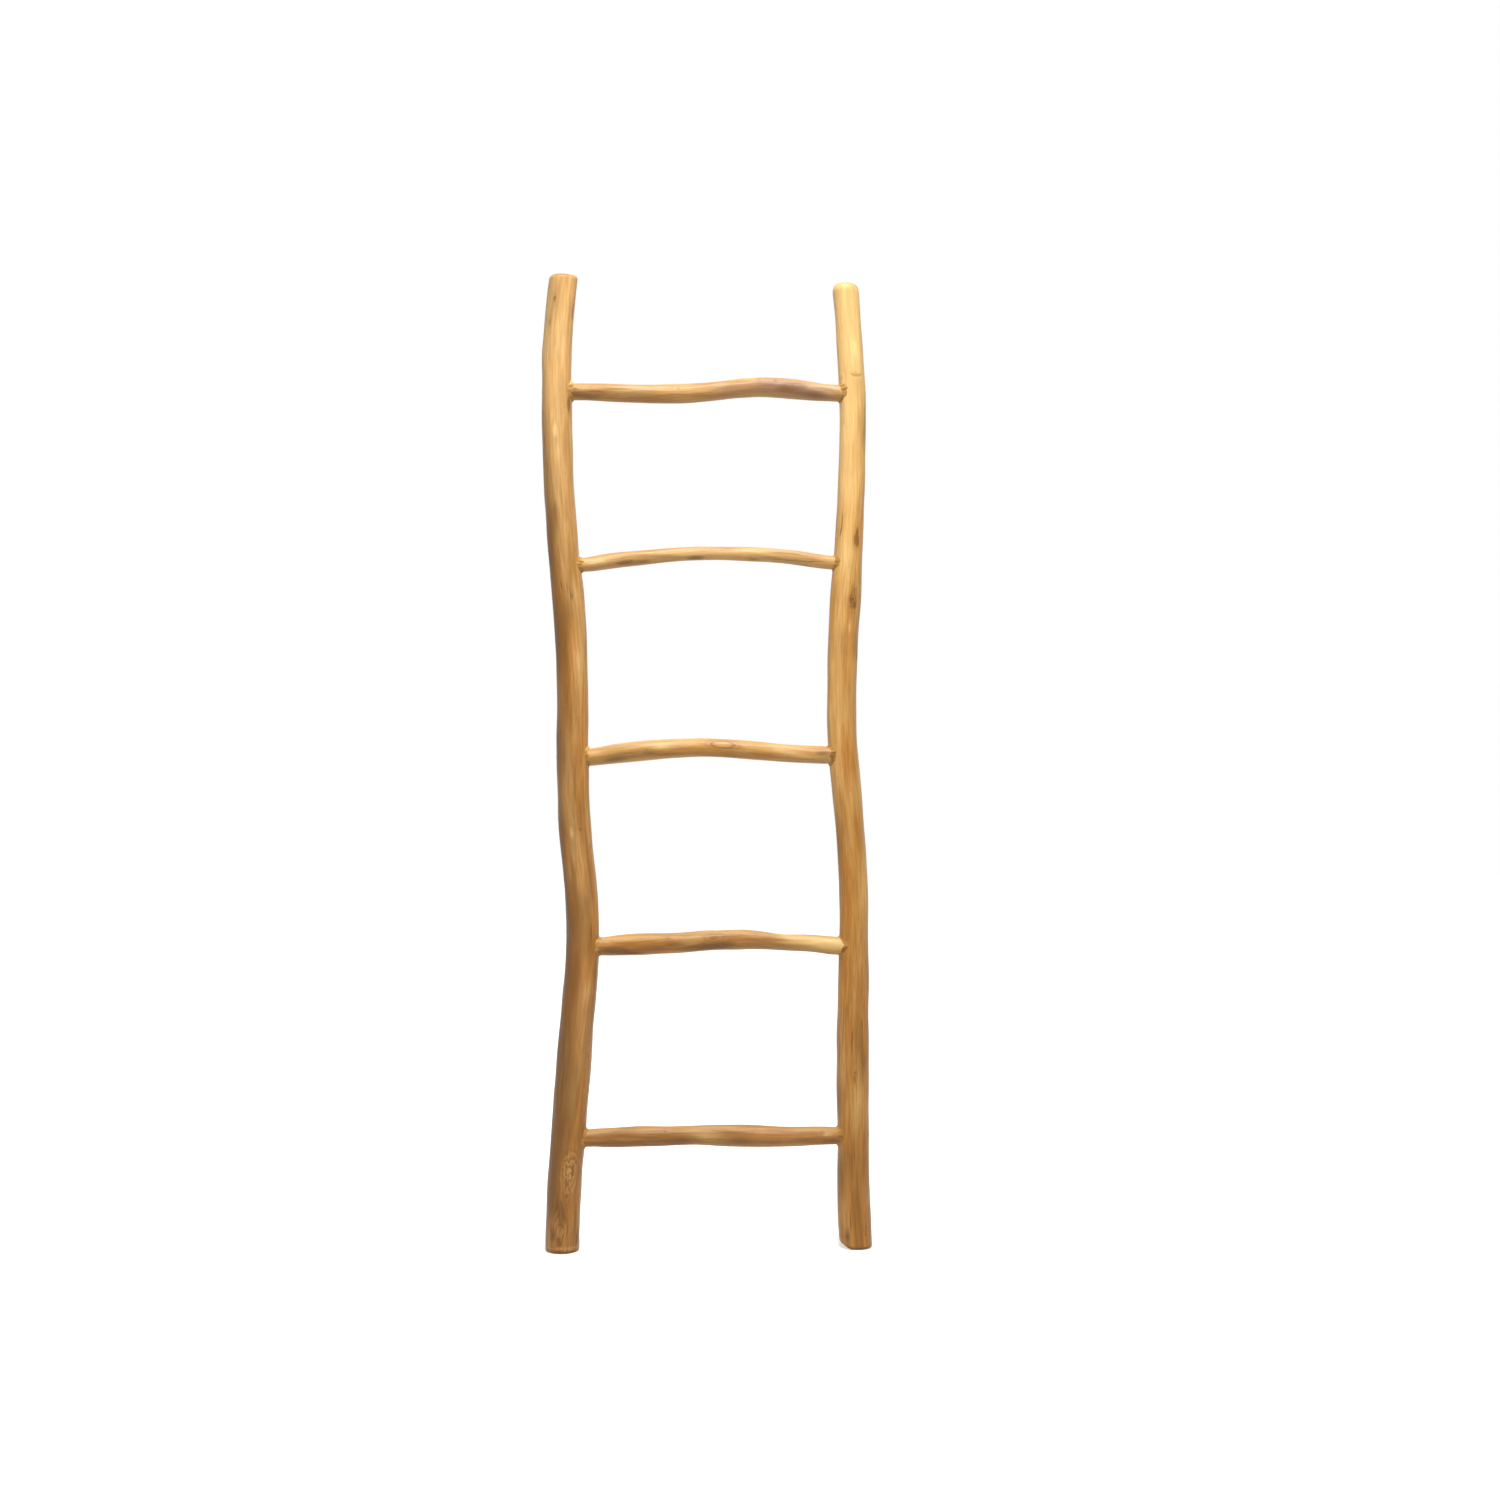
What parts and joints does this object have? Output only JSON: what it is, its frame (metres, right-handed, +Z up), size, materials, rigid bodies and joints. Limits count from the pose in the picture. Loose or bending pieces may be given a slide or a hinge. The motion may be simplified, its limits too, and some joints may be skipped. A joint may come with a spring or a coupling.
{
  "type": "blanket ladder",
  "caption": "Free-leaning decorative ladder of peeled hardwood branches, with two crooked round rails and crooked rungs in round sockets, for hanging blankets or towels.",
  "frame": {"origin": "on the floor under the middle of the ladder, at the bottom centre of its bounding box", "axes": "+Z up along the rails, +X from the left rail to the right one as seen from the front, +Y to the wall behind"},
  "size_m": [0.5103, 0.0576, 1.5],
  "materials": {
    "rail_wood": "satin",
    "rung_wood": "satin",
    "pin_wood": "satin"
  },
  "bodies": {
    "root": {"left_rail": "rail_wood", "right_rail": "rail_wood", "rung_1": "rung_wood", "rung_2": "rung_wood", "rung_3": "rung_wood", "rung_4": "rung_wood", "rung_5": "rung_wood", "pin_1_left": "pin_wood", "pin_1_right": "pin_wood", "pin_2_left": "pin_wood", "pin_2_right": "pin_wood", "pin_3_left": "pin_wood", "pin_3_right": "pin_wood", "pin_4_left": "pin_wood", "pin_4_right": "pin_wood", "pin_5_left": "pin_wood", "pin_5_right": "pin_wood"}
  },
  "joints": []
}
